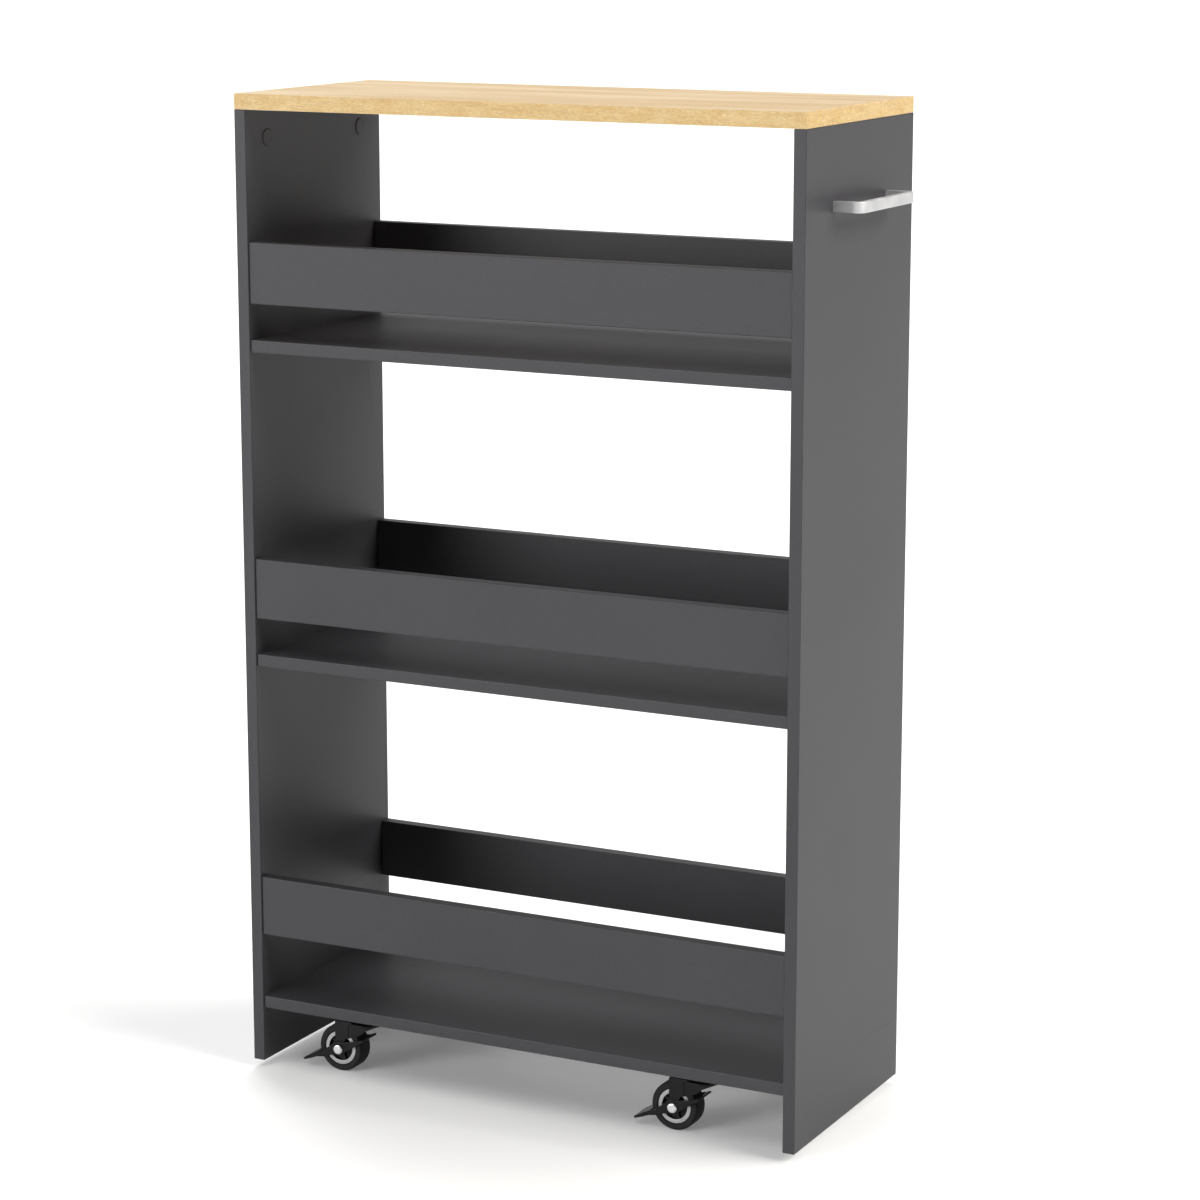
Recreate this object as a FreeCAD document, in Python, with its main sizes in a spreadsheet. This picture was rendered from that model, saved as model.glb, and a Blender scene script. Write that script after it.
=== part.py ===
"""Rolling pantry cart: a slim flat-pack shelf unit on four swivel casters.

Frame: millimetres, +Z up, front towards -Y, pull handle on the +X side.
The origin is on the floor, at the centre of the whole cart's bounding box.
The handle stands out on +X only, so the carcass sits half that distance to -X.
"""
import FreeCAD, Part
import Sketcher
import math
import os

from FreeCAD import Placement, Rotation, Vector

doc = FreeCAD.newDocument("rolling_pantry_cart")

# ---------------------------------------------------------------------------
# Driving dimensions
# ---------------------------------------------------------------------------

DIMENSIONS = {
    # carcass
    "carcass_width": 580,
    "carcass_depth": 245,
    "cart_height": 950,
    "floor_gap": 8,
    "top_thick": 15,
    "panel_thick": 12,
    "shelf_thick": 12,
    "shelf_recess": 2,
    "rail_thick": 12,
    "rail_height": 58,
    "edge_round": 0.8,
    "upper_shelf_top": 720,
    "middle_shelf_top": 417,
    "lower_shelf_top": 74,
    "upper_rail_base": 754,
    "middle_rail_base": 452,
    "lower_rail_base": 137,
    # knock-down joints
    "joint_gap": 0.1,
    "bore_end_room": 0.5,
    "cam_radius": 7.5,
    "cam_length": 9.2,
    "cam_bore_depth": 9.5,
    "cam_setback": 28,
    "cam_side_inset": 38,
    "cam_face_depth": 6,
    "cam_slot_half": 3.5,
    "cam_slot_roof": 2.6,
    "cam_cross_long": 4.5,
    "cam_cross_wide": 0.9,
    "bolt_radius": 2.5,
    "bolt_neck_radius": 1.75,
    "bolt_neck_length": 2.4,
    "bolt_head_radius": 3.2,
    "bolt_head_length": 3.2,
    "bolt_thread_length": 9,
    "bolt_bore_radius": 3.6,
    "dowel_radius": 3,
    "dowel_short_end": 9,
    "dowel_long_end": 19,
    "dowel_bevel": 0.6,
    "dowel_side_inset": 72,
    "rail_bolt_height": 17,
    "rail_dowel_height": 41,
    "cap_radius": 8.5,
    "cap_thick": 0.8,
    # pull handle
    "handle_standoff": 28,
    "handle_centres": 120,
    "handle_bar_thick": 6,
    "handle_bar_height": 10,
    "handle_drop": 86,
    "handle_bend": 9,
    "handle_edge_round": 0.7,
    "handle_screw_radius": 2,
    "handle_screw_bite": 9,
    "handle_screw_head_radius": 4,
    "handle_screw_head_height": 2.4,
    # casters
    "caster_span_x": 363,
    "caster_inset_y": 37,
    "caster_trail": 26,
    "wheel_radius": 23.5,
    "tyre_half_width": 9.5,
    "tyre_shoulder": 2.4,
    "tyre_flank_rise": 1.2,
    "rim_radius": 16.7,
    "rim_inner_radius": 12.8,
    "rim_half_width": 7.5,
    "ring_thick": 1.3,
    "ring_bevel": 0.3,
    "web_half_width": 4.5,
    "spoke_width": 1.6,
    "spoke_setback": 0.5,
    "boss_radius": 5.6,
    "boss_half_width": 10.1,
    "axle_radius": 2.5,
    "axle_play": 0.06,
    "axle_head_radius": 5.2,
    "axle_head_height": 2.4,
    "axle_tail_radius": 4,
    "axle_tail_height": 1.8,
    "rivet_rim_height": 0.4,
    "fork_inner_half": 10.2,
    "fork_metal": 1.6,
    "fork_top": 52,
    "fork_crown_thick": 2,
    "fork_crown_radius": 17,
    "fork_eye_radius": 6.5,
    "fork_crease_setback": 14,
    "fork_crease_width": 1.2,
    "fork_crease_depth": 0.5,
    "fork_crease_foot": 36,
    "plate_size": 46,
    "plate_thick": 2,
    "plate_corner": 5,
    "plate_screw_pitch": 34,
    "plate_hole_radius": 2.3,
    "kingpin_radius": 4,
    "kingpin_play": 0.08,
    "kingpin_head_radius": 6.5,
    "kingpin_head_height": 2,
    "kingpin_head_bevel": 1,
    "race_top_radius": 15.5,
    "race_bottom_radius": 13.5,
    "ball_radius": 1.5,
    "ball_circle_radius": 9,
    "swivel_play": 0.05,
    "screw_radius": 1.9,
    "screw_head_radius": 3.8,
    "screw_head_height": 2.2,
    "screw_bite": 9.5,
    # brake levers
    "lever_metal": 1.5,
    "lever_play": 0.1,
    "lever_eye_radius": 7.3,
    "lever_wheel_room": 1.1,
}

sheet = doc.addObject("Spreadsheet::Sheet", "dims")
for row, (alias, size) in enumerate(DIMENSIONS.items(), start=1):
    sheet.set(f"A{row}", alias)
    sheet.set(f"B{row}", str(size))
    sheet.setAlias(f"B{row}", alias)
doc.recompute()

# Heights and places that several pieces share, as expressions of the sheet.
CARCASS_X = "(0 - dims.handle_standoff / 2)"
INNER_HALF = "(dims.carcass_width / 2 - dims.panel_thick)"
BOARD_UNDERSIDE = "(dims.cart_height - dims.top_thick)"
PANEL_HEIGHT = f"({BOARD_UNDERSIDE} - dims.floor_gap)"
SHELF_UNDERSIDE = "(dims.lower_shelf_top - dims.shelf_thick)"
PLATE_UNDERSIDE = f"({SHELF_UNDERSIDE} - dims.plate_thick)"
RAIL_Y = "(dims.carcass_depth / 2 - dims.shelf_recess - dims.rail_thick / 2)"
CAM_Y = "(dims.carcass_depth / 2 - dims.cam_side_inset)"
DOWEL_Y = "(dims.carcass_depth / 2 - dims.dowel_side_inset)"
HANDLE_Z = "(dims.cart_height - dims.handle_drop)"
FORK_OUTER = "(dims.fork_inner_half + dims.fork_metal)"
LEVER_INNER = f"({FORK_OUTER} + dims.lever_play)"
LEVER_OUTER = f"({LEVER_INNER} + dims.lever_metal)"

SHELVES = ("upper", "middle", "lower")
SIDES = {"left": -1, "right": 1}
ENDS = {"front": -1, "rear": 1}
WHEEL_SPOKES = 5
BALLS_PER_RACE = 12
SAME_PLACE = 1e-4
SAME_VOLUME = 1e-3

# A screw head's side view as (share of its radius, share of its height), from the
# crown to the seat, and its cross recess as shares of the radius and the height.
SCREW_HEAD_CURVE = ((0.65, 1), (0.92, 0.68), (1, 0.3))
SCREW_CROSS_LONG = 0.45
SCREW_CROSS_WIDE = 0.11
SCREW_CROSS_DEEP = 0.5
SCREW_POINT = 0.3


def value(expression):
    """The number that an expression of the sheet gives, in millimetres."""
    result = sheet.evalExpression(str(expression))
    return float(getattr(result, "Value", result))


# ---------------------------------------------------------------------------
# Small builders
# ---------------------------------------------------------------------------

def new_body(label):
    body = doc.addObject("PartDesign::Body", label)
    body.Label = label
    return body


def place(thing, x="0", y="0", z="0"):
    """Bind a sub-part's place to expressions of the sheet."""
    for axis, expression in zip("xyz", (x, y, z)):
        thing.setExpression(f"Placement.Base.{axis}", str(expression))
    return thing


def new_sketch(body, plane, offset="0"):
    """A sketch on one of the body's own origin planes, moved along its normal."""
    sketch = body.newObject("Sketcher::SketchObject", "sketch")
    support = next(f for f in body.Origin.OriginFeatures if f.Role == plane)
    sketch.AttachmentSupport = [(support, "")]
    sketch.MapMode = "FlatFace"
    sketch.setExpression("AttachmentOffset.Base.z", str(offset))
    return sketch


def pin_point(sketch, geometry, vertex, x, y):
    """Hold a sketch point at two expressions, measured from the sketch's origin."""
    origin, horizontal_axis, vertical_axis = -1, -1, -2
    for kind, expression, axis in (("DistanceX", x, vertical_axis), ("DistanceY", y, horizontal_axis)):
        size = value(expression)
        if abs(size) < SAME_PLACE:
            sketch.addConstraint(Sketcher.Constraint("PointOnObject", geometry, vertex, axis))
        else:
            index = sketch.addConstraint(
                Sketcher.Constraint(kind, origin, 1, geometry, vertex, size))
            sketch.setExpression(f"Constraints[{index}]", str(expression))


def draw_outline(sketch, points):
    """A closed outline of straight lines through points given as expressions."""
    corners = [Vector(value(x), value(y), 0) for x, y in points]
    count = len(corners)
    first = sketch.GeometryCount
    for i, corner in enumerate(corners):
        sketch.addGeometry(Part.LineSegment(corner, corners[(i + 1) % count]), False)
    for i, (x, y) in enumerate(points):
        sketch.addConstraint(
            Sketcher.Constraint("Coincident", first + i, 2, first + (i + 1) % count, 1))
        pin_point(sketch, first + i, 1, x, y)
    return sketch


def draw_rectangle(sketch, x_low, x_high, y_low, y_high):
    return draw_outline(sketch, [(x_low, y_low), (x_high, y_low), (x_high, y_high), (x_low, y_high)])


def draw_circle(sketch, radius, x="0", y="0"):
    circle = Part.Circle(Vector(value(x), value(y), 0), Vector(0, 0, 1), value(radius))
    index = sketch.addGeometry(circle, False)
    constraint = sketch.addConstraint(Sketcher.Constraint("Radius", index, value(radius)))
    sketch.setExpression(f"Constraints[{constraint}]", str(radius))
    pin_point(sketch, index, 3, x, y)
    return sketch


def pad(body, sketch, length, symmetric=False, backwards=False):
    feature = body.newObject("PartDesign::Pad", "pad")
    feature.Profile = sketch
    feature.setExpression("Length", str(length))
    feature.Midplane = symmetric
    feature.Reversed = backwards
    return feature


def pocket(body, sketch, depth, symmetric=False, backwards=False):
    """Cut a sketch into the body, and make sure that it does take material away."""
    doc.recompute()
    before = body.Shape.Volume
    feature = body.newObject("PartDesign::Pocket", "pocket")
    feature.Profile = sketch
    feature.setExpression("Length", str(depth))
    feature.Midplane = symmetric
    feature.Reversed = backwards
    doc.recompute()
    if body.Shape.Volume > before - SAME_VOLUME:
        raise RuntimeError(f"a pocket in {body.Label} cuts nothing")
    return feature


def revolve(body, sketch, axis="V_Axis"):
    feature = body.newObject("PartDesign::Revolution", "revolution")
    feature.Profile = sketch
    feature.ReferenceAxis = (sketch, [axis])
    feature.Angle = 360
    return feature


def round_edges(body, radius, wanted):
    """Fillet the edges of the body's tip for which wanted(edge) is true."""
    doc.recompute()
    base = body.Tip
    names = [f"Edge{i}" for i, edge in enumerate(base.Shape.Edges, start=1) if wanted(edge)]
    if not names:
        raise RuntimeError(f"no edge to round in {body.Label}")
    feature = body.newObject("PartDesign::Fillet", "fillet")
    feature.Base = (base, names)
    feature.setExpression("Radius", str(radius))
    doc.recompute()
    return feature


def turned(label, points, about="Z"):
    """A turned piece: an outline of (radius, height) points swept round Z or Y."""
    body = new_body(label)
    plane = {"Z": "XZ_Plane", "Y": "XY_Plane"}[about]
    sketch = draw_outline(new_sketch(body, plane), points)
    revolve(body, sketch)
    doc.recompute()
    return body


def is_rim(edge, radius, height, axis="z"):
    """True for a full circle of this radius at this height along an axis."""
    if not hasattr(edge.Curve, "Radius"):
        return False
    level = getattr(edge.Curve.Center, axis)
    same_radius = abs(edge.Curve.Radius - value(radius)) < SAME_PLACE
    return same_radius and abs(level - value(height)) < SAME_PLACE


def group(label, template, placements):
    """One node of identical separate pieces: copies of a template's shape."""
    copies = []
    for placement in placements:
        copy = template.Shape.copy()
        copy.Placement = placement.multiply(copy.Placement)
        copies.append(copy)
    feature = doc.addObject("Part::Feature", label)
    feature.Label = label
    feature.Shape = Part.makeCompound(copies)
    return feature


def at(x, y, z, direction=(0, 0, 1), roll=0.0):
    """A placement that turns +Z to a direction, after a roll about +Z in degrees."""
    turn = Rotation(Vector(0, 0, 1), Vector(*direction))
    return Placement(Vector(x, y, z), turn.multiply(Rotation(Vector(0, 0, 1), roll)))


# ---------------------------------------------------------------------------
# Boards
# ---------------------------------------------------------------------------

def round_board(body):
    """Ease every outer edge of a fresh board."""
    return round_edges(body, "dims.edge_round", lambda edge: True)


def bore(body, plane, offset, radius, centres, depth, backwards=False):
    """Equal blind bores, at centres given as expressions on one face of a board."""
    sketch = new_sketch(body, plane, offset)
    for x, y in centres:
        draw_circle(sketch, radius, x, y)
    return pocket(body, sketch, depth, backwards=backwards)


CAM_BORE = ("(dims.cam_radius + dims.joint_gap)", "dims.cam_bore_depth")
BOLT_BORE = ("dims.bolt_bore_radius", "dims.cam_setback")
THREAD_BORE = ("(dims.bolt_radius + dims.joint_gap)", "(dims.bolt_thread_length + dims.bore_end_room)")
DOWEL_SHORT_BORE = ("(dims.dowel_radius + dims.joint_gap)", "(dims.dowel_short_end + dims.bore_end_room)")
DOWEL_LONG_BORE = ("(dims.dowel_radius + dims.joint_gap)", "(dims.dowel_long_end + dims.bore_end_room)")


def both_signs(expression):
    return (f"(0 - {expression})", f"{expression}")


def make_top_board():
    body = new_body("top_board")
    sketch = new_sketch(body, "XY_Plane")
    draw_rectangle(sketch, *both_signs("dims.carcass_width / 2"), *both_signs("dims.carcass_depth / 2"))
    pad(body, sketch, "dims.top_thick")
    round_board(body)
    panel_middle = "(dims.carcass_width / 2 - dims.panel_thick / 2)"
    bolts = [(x, y) for x in both_signs(panel_middle) for y in both_signs(CAM_Y)]
    dowels = [(x, y) for x in both_signs(panel_middle) for y in both_signs(DOWEL_Y)]
    bore(body, "XY_Plane", "0", THREAD_BORE[0], bolts, THREAD_BORE[1], backwards=True)
    bore(body, "XY_Plane", "0", DOWEL_SHORT_BORE[0], dowels, DOWEL_SHORT_BORE[1], backwards=True)
    return place(body, CARCASS_X, "0", BOARD_UNDERSIDE)


def make_side_panel(side):
    """A side panel, with its bores in the inner face and the top edge."""
    body = new_body(f"{side}_side_panel")
    sketch = new_sketch(body, "YZ_Plane")
    draw_rectangle(sketch, *both_signs("dims.carcass_depth / 2"), "0", PANEL_HEIGHT)
    pad(body, sketch, "dims.panel_thick")
    round_board(body)

    inner_face = "dims.panel_thick" if side == "left" else "0"
    into_board = side == "right"
    bolts = []
    dowels = []
    for level in SHELVES:
        shelf_middle = f"dims.{level}_shelf_top - dims.shelf_thick / 2 - dims.floor_gap"
        rail_foot = f"dims.{level}_rail_base - dims.floor_gap"
        bolts += [(y, f"({shelf_middle})") for y in both_signs(CAM_Y)]
        bolts += [(y, f"({rail_foot} + dims.rail_bolt_height)") for y in both_signs(RAIL_Y)]
        dowels += [(y, f"({shelf_middle})") for y in both_signs(DOWEL_Y)]
        dowels += [(y, f"({rail_foot} + dims.rail_dowel_height)") for y in both_signs(RAIL_Y)]
    bore(body, "YZ_Plane", inner_face, THREAD_BORE[0], bolts, THREAD_BORE[1], into_board)
    bore(body, "YZ_Plane", inner_face, DOWEL_SHORT_BORE[0], dowels, DOWEL_SHORT_BORE[1], into_board)
    cams = [(y, f"({PANEL_HEIGHT} - dims.cam_setback)") for y in both_signs(CAM_Y)]
    bore(body, "YZ_Plane", inner_face, CAM_BORE[0], cams, CAM_BORE[1], into_board)

    edge_bolts = [("dims.panel_thick / 2", y) for y in both_signs(CAM_Y)]
    edge_dowels = [("dims.panel_thick / 2", y) for y in both_signs(DOWEL_Y)]
    bore(body, "XY_Plane", PANEL_HEIGHT, BOLT_BORE[0], edge_bolts, BOLT_BORE[1])
    bore(body, "XY_Plane", PANEL_HEIGHT, DOWEL_LONG_BORE[0], edge_dowels, DOWEL_LONG_BORE[1])

    if side == "right":
        screws = [(y, f"({HANDLE_Z} - dims.floor_gap)") for y in both_signs("dims.handle_centres / 2")]
        radius = "(dims.handle_screw_radius + dims.joint_gap)"
        bore(body, "YZ_Plane", inner_face, radius, screws, "dims.panel_thick", into_board)
        return place(body, f"{CARCASS_X} + {INNER_HALF}", "0", "dims.floor_gap")
    return place(body, f"{CARCASS_X} - dims.carcass_width / 2", "0", "dims.floor_gap")


def make_shelf(level):
    """A shelf, held at each end by two cams in its underside and two dowels."""
    body = new_body(f"{level}_shelf")
    sketch = new_sketch(body, "XY_Plane")
    half_depth = "(dims.carcass_depth / 2 - dims.shelf_recess)"
    draw_rectangle(sketch, *both_signs(INNER_HALF), *both_signs(half_depth))
    pad(body, sketch, "dims.shelf_thick")
    round_board(body)
    cam_x = f"({INNER_HALF} - dims.cam_setback)"
    cams = [(x, y) for x in both_signs(cam_x) for y in both_signs(CAM_Y)]
    bore(body, "XY_Plane", "0", CAM_BORE[0], cams, CAM_BORE[1], backwards=True)
    bolts = [(y, "dims.shelf_thick / 2") for y in both_signs(CAM_Y)]
    dowels = [(y, "dims.shelf_thick / 2") for y in both_signs(DOWEL_Y)]
    for end, backwards in zip(both_signs(INNER_HALF), (True, False)):
        bore(body, "YZ_Plane", end, BOLT_BORE[0], bolts, BOLT_BORE[1], backwards)
        bore(body, "YZ_Plane", end, DOWEL_LONG_BORE[0], dowels, DOWEL_LONG_BORE[1], backwards)
    if level == "lower":
        holes = [(f"{x} + {u}", f"{y} + {v}")
                 for x in both_signs("dims.caster_span_x / 2") for y in both_signs(CASTER_Y)
                 for u in both_signs("dims.plate_screw_pitch / 2")
                 for v in both_signs("dims.plate_screw_pitch / 2")]
        radius = "(dims.screw_radius + dims.joint_gap)"
        depth = "(dims.screw_bite + dims.bore_end_room)"
        bore(body, "XY_Plane", "0", radius, holes, depth, backwards=True)
    return place(body, CARCASS_X, "0", f"dims.{level}_shelf_top - dims.shelf_thick")


def make_rail(level, end):
    """A guard rail, with one cam in its rear face and one dowel at each end."""
    body = new_body(f"{level}_{end}_rail")
    sketch = new_sketch(body, "XZ_Plane")
    draw_rectangle(sketch, *both_signs(INNER_HALF), "0", "dims.rail_height")
    pad(body, sketch, "dims.rail_thick", symmetric=True)
    round_board(body)
    cam_x = f"({INNER_HALF} - dims.cam_setback)"
    cams = [(x, "dims.rail_bolt_height") for x in both_signs(cam_x)]
    bore(body, "XZ_Plane", "0 - dims.rail_thick / 2", CAM_BORE[0], cams, CAM_BORE[1], backwards=True)
    for face, backwards in zip(both_signs(INNER_HALF), (True, False)):
        bore(body, "YZ_Plane", face, BOLT_BORE[0], [("0", "dims.rail_bolt_height")],
             BOLT_BORE[1], backwards)
        bore(body, "YZ_Plane", face, DOWEL_LONG_BORE[0], [("0", "dims.rail_dowel_height")],
             DOWEL_LONG_BORE[1], backwards)
    sign = "0 - " if end == "front" else ""
    return place(body, CARCASS_X, f"{sign}{RAIL_Y}", f"dims.{level}_rail_base")


# ---------------------------------------------------------------------------
# Knock-down fittings
# ---------------------------------------------------------------------------

def facing(position, outwards, slot):
    """A placement whose +Z points outwards and whose -X points along the slot."""
    z_axis = Vector(*outwards)
    x_axis = Vector(*slot).multiply(-1)
    turn = Rotation(x_axis, z_axis.cross(x_axis), z_axis, "ZXY")
    return Placement(Vector(*position), turn)


def board_joints():
    """Places of the bolts, dowels and cams, as (point, way into the board, cam face, kind)."""
    middle = value(CARCASS_X)
    half = value(INNER_HALF)
    cam_y = value(CAM_Y)
    dowel_y = value(DOWEL_Y)
    rail_y = value(RAIL_Y)
    for side in SIDES.values():
        face_x = middle + side * half
        panel_x = face_x + side * value("dims.panel_thick") / 2
        inwards = (-side, 0, 0)
        for end in ENDS.values():
            underside = value(BOARD_UNDERSIDE)
            yield (panel_x, end * cam_y, underside), (0, 0, -1), inwards, "bolt"
            yield (panel_x, end * dowel_y, underside), (0, 0, -1), inwards, "dowel"
            for level in SHELVES:
                height = value(f"dims.{level}_shelf_top - dims.shelf_thick / 2")
                yield (face_x, end * cam_y, height), inwards, (0, 0, -1), "bolt"
                yield (face_x, end * dowel_y, height), inwards, (0, 0, -1), "dowel"
                foot = value(f"dims.{level}_rail_base")
                bolt_height = foot + value("dims.rail_bolt_height")
                dowel_height = foot + value("dims.rail_dowel_height")
                yield (face_x, end * rail_y, bolt_height), inwards, (0, 1, 0), "bolt"
                yield (face_x, end * rail_y, dowel_height), inwards, (0, 1, 0), "dowel"


def make_cam_bolts():
    """Steel bolts screwed into one board, with a head that the cam in the next board grips."""
    head_top = "(dims.cam_setback + dims.bolt_head_length / 2)"
    head_foot = "(dims.cam_setback - dims.bolt_head_length / 2)"
    neck_foot = f"({head_foot} - dims.bolt_neck_length)"
    template = turned("cam_bolt_template", [
        ("0", "0 - dims.bolt_thread_length"),
        ("dims.bolt_radius", "0 - dims.bolt_thread_length"),
        ("dims.bolt_radius", neck_foot),
        ("dims.bolt_neck_radius", neck_foot),
        ("dims.bolt_neck_radius", head_foot),
        ("dims.bolt_head_radius", head_foot),
        ("dims.bolt_head_radius", head_top),
        ("0", head_top),
    ])
    places = [at(*point, way) for point, way, _, kind in board_joints() if kind == "bolt"]
    return group("cam_bolts", template, places)


def make_cam_locks():
    """Zinc cams: slotted discs that turn in their bores and pull the bolt heads in."""
    body = new_body("cam_lock_template")
    pad(body, draw_circle(new_sketch(body, "XY_Plane"), "dims.cam_radius"), "dims.cam_length",
        backwards=True)
    slot = new_sketch(body, "XY_Plane", "0 - dims.cam_slot_roof")
    draw_rectangle(slot, "0 - dims.cam_radius - dims.bore_end_room",
                   "dims.bolt_head_length / 2 + dims.bore_end_room",
                   *both_signs("dims.cam_slot_half"))
    pocket(body, slot, "dims.cam_length - dims.cam_slot_roof")
    arm = ("dims.cam_cross_long", "dims.cam_cross_wide")
    for x, y in (arm, arm[::-1]):
        cross = new_sketch(body, "XY_Plane")
        draw_rectangle(cross, *both_signs(x), *both_signs(y))
        pocket(body, cross, "dims.cam_slot_roof / 2")
    setback = value("dims.cam_setback")
    depth = value("dims.cam_face_depth")
    places = []
    for point, way, face, kind in board_joints():
        if kind == "bolt":
            centre = Vector(*point) + Vector(*way) * setback + Vector(*face) * depth
            slot_way = Vector(*way).multiply(-1)
            places.append(facing(tuple(centre), face, tuple(slot_way)))
    return group("cam_locks", body, places)


def make_wooden_dowels():
    tip_radius = "(dims.dowel_radius - dims.dowel_bevel)"
    foot = "(0 - dims.dowel_short_end)"
    top = "dims.dowel_long_end"
    template = turned("wooden_dowel_template", [
        ("0", foot),
        (tip_radius, foot),
        ("dims.dowel_radius", f"{foot} + dims.dowel_bevel"),
        ("dims.dowel_radius", f"{top} - dims.dowel_bevel"),
        (tip_radius, top),
        ("0", top),
    ])
    places = [at(*point, way) for point, way, _, kind in board_joints() if kind == "dowel"]
    return group("wooden_dowels", template, places)


def make_cam_cover_caps():
    """Thin stick-on caps over the four cams on the inner faces of the side panels."""
    template = turned("cam_cap_template", [
        ("0", "0"),
        ("dims.cap_radius", "0"),
        ("dims.cap_radius", "dims.cap_thick / 2"),
        ("dims.cap_radius - dims.cap_thick", "dims.cap_thick"),
        ("0", "dims.cap_thick"),
    ])
    height = value(f"{BOARD_UNDERSIDE} - dims.cam_setback")
    places = [at(value(CARCASS_X) + side * value(INNER_HALF), end * value(CAM_Y), height, (-side, 0, 0))
              for side in SIDES.values() for end in ENDS.values()]
    return group("cam_cover_caps", template, places)


def screw_template(label, shank_radius, shank_length, head_radius, head_height):
    """A pan-head screw, head downwards, with a cross recess."""
    head = [(f"{head_radius} * {out}", f"0 - {head_height} * {down}") for out, down in SCREW_HEAD_CURVE]
    shank = [
        (shank_radius, "0"),
        (shank_radius, f"{shank_length} - {shank_radius}"),
        (f"{shank_radius} * {SCREW_POINT}", shank_length),
        ("0", shank_length),
    ]
    body = turned(label, [("0", f"0 - {head_height}")] + head + [(head_radius, "0")] + shank)
    arm = (f"{head_radius} * {SCREW_CROSS_LONG}", f"{head_radius} * {SCREW_CROSS_WIDE}")
    for x, y in (arm, arm[::-1]):
        cross = new_sketch(body, "XY_Plane", f"0 - {head_height}")
        draw_rectangle(cross, *both_signs(x), *both_signs(y))
        pocket(body, cross, f"{head_height} * {SCREW_CROSS_DEEP}", backwards=True)
    return body


# ---------------------------------------------------------------------------
# Pull handle
# ---------------------------------------------------------------------------

def make_pull_handle():
    """A bow handle bent from flat bar, whose two feet stand on the right panel."""
    body = new_body("pull_handle")
    outer = "(dims.handle_centres / 2 + dims.handle_bar_thick / 2)"
    inner = "(dims.handle_centres / 2 - dims.handle_bar_thick / 2)"
    reach = "dims.handle_standoff"
    inner_reach = "(dims.handle_standoff - dims.handle_bar_thick)"
    sketch = new_sketch(body, "XY_Plane")
    draw_outline(sketch, [
        ("0", f"0 - {outer}"),
        (reach, f"0 - {outer}"),
        (reach, outer),
        ("0", outer),
        ("0", inner),
        (inner_reach, inner),
        (inner_reach, f"0 - {inner}"),
        ("0", f"0 - {inner}"),
    ])
    pad(body, sketch, "dims.handle_bar_height", symmetric=True)

    def stands_at(edge, x, y):
        low, high = edge.BoundBox.ZMin, edge.BoundBox.ZMax
        middle = edge.CenterOfMass
        near_x = abs(middle.x - value(x)) < SAME_PLACE
        near_y = abs(abs(middle.y) - value(y)) < SAME_PLACE
        return near_x and near_y and high - low > SAME_PLACE

    round_edges(body, "dims.handle_bend", lambda edge: stands_at(edge, reach, outer))
    round_edges(body, "dims.handle_bend - dims.handle_bar_thick",
                lambda edge: stands_at(edge, inner_reach, inner))
    half_height = value("dims.handle_bar_height / 2")

    def long_edge(edge):
        box = edge.BoundBox
        level = abs(abs(edge.CenterOfMass.z) - half_height) < SAME_PLACE
        return level and box.ZLength < SAME_PLACE and box.XMax > SAME_PLACE

    round_edges(body, "dims.handle_edge_round", long_edge)
    holes = [(y, "0") for y in both_signs("dims.handle_centres / 2")]
    bore(body, "YZ_Plane", "0", "(dims.handle_screw_radius + dims.joint_gap)", holes,
         "(dims.handle_screw_bite + dims.bore_end_room)", backwards=True)
    return place(body, f"{CARCASS_X} + dims.carcass_width / 2", "0", HANDLE_Z)


def make_handle_screws():
    template = screw_template(
        "handle_screw_template", "dims.handle_screw_radius",
        "(dims.panel_thick + dims.handle_screw_bite)",
        "dims.handle_screw_head_radius", "dims.handle_screw_head_height")
    inner_face = value(f"{CARCASS_X} + {INNER_HALF}")
    places = [at(inner_face, end * value("dims.handle_centres / 2"), value(HANDLE_Z), (1, 0, 0))
              for end in ENDS.values()]
    return group("handle_screws", template, places)


# ---------------------------------------------------------------------------
# Casters
# ---------------------------------------------------------------------------

CASTER_Y = "(dims.carcass_depth / 2 - dims.caster_inset_y)"

# The fork's side view, from the kingpin's axis and above the floor. Its rear edge
# stands just behind the axle. Its lower edge climbs from the leg to a front tip.
FORK_REAR = "(0 - dims.caster_trail - 4.5)"
FORK_LOWER_EDGE = [
    ("dims.fork_crown_radius - 1", "dims.fork_top"),
    ("dims.fork_crown_radius - 1", "dims.fork_top - 1"),
    ("3.3", "45"),
    ("0 - 1.5", "40.6"),
    ("0 - 7", "37.8"),
    ("0 - 18.5", "34.6"),
    ("0 - dims.caster_trail + 5", "30"),
    ("0 - dims.caster_trail + 4.5", "dims.wheel_radius"),
]

# The brake lever's side view, from the axle. The pedal slants down towards -X, with
# its lower face first, and the release tab climbs towards +X, then the top edge
# runs back over the axle's eye.
PEDAL_FOOT = [(-39.5, -16.9), (-31, -14), (-25, -11.6), (-15.8, -10.1), (-8.7, -7.3)]
RELEASE_TAB = [(3, -5), (17.5, 4.2), (22.5, 7.6), (27.8, 11), (27, 12.8), (21.5, 10.6), (15, 9.2)]
LEVER_BACK = [(3, 7), (-3.6, 6.8), (-19, -5.4), (-25, -7.2), (-32, -10.4), (-40.4, -15)]
LEVER_OUTLINE = PEDAL_FOOT + RELEASE_TAB + LEVER_BACK


def caster_place(corner):
    end, side = corner.split("_")
    x_sign = "-" if side == "left" else "+"
    y_sign = "0 - " if end == "front" else ""
    return f"{CARCASS_X} {x_sign} dims.caster_span_x / 2", f"{y_sign}{CASTER_Y}"


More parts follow.
